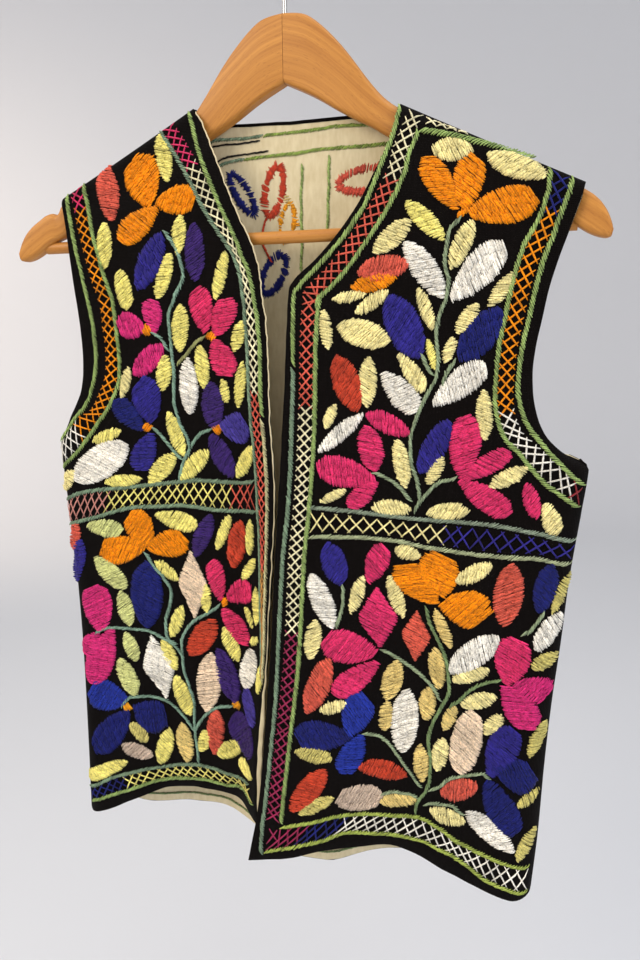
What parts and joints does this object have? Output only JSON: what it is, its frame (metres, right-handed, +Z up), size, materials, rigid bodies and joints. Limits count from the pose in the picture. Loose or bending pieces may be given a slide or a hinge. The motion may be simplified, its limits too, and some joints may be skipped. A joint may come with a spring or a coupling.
{
  "type": "embroidered waistcoat on a wooden hanger",
  "caption": "Short black cotton waistcoat with a scoop neck, bright satin stitch flowers and cross stitch borders, hung open on a wooden hanger",
  "frame": {"origin": "the top of the inside of the hanger's hook, where it rests on a rail", "axes": "+Z up, -Y out of the front of the waistcoat, +X towards the wearer's left side"},
  "size_m": [0.451, 0.0755, 0.7646],
  "materials": {
    "black_cloth": "matt woven cotton",
    "lining_cloth": "matt plain cotton",
    "hanger_wood": "clear varnish",
    "hook_steel": "bright plated",
    "embroidery_thread": "soft sheen stranded cotton"
  },
  "bodies": {
    "root": {"left_front": "black_cloth", "left_front_lining": "lining_cloth", "right_front": "black_cloth", "right_front_lining": "lining_cloth", "back": "black_cloth", "back_lining": "lining_cloth", "hanger_arm_left": "hanger_wood", "hanger_arm_right": "hanger_wood", "hanger_bar": "hanger_wood", "hanger_hook": "hook_steel"}
  },
  "joints": []
}
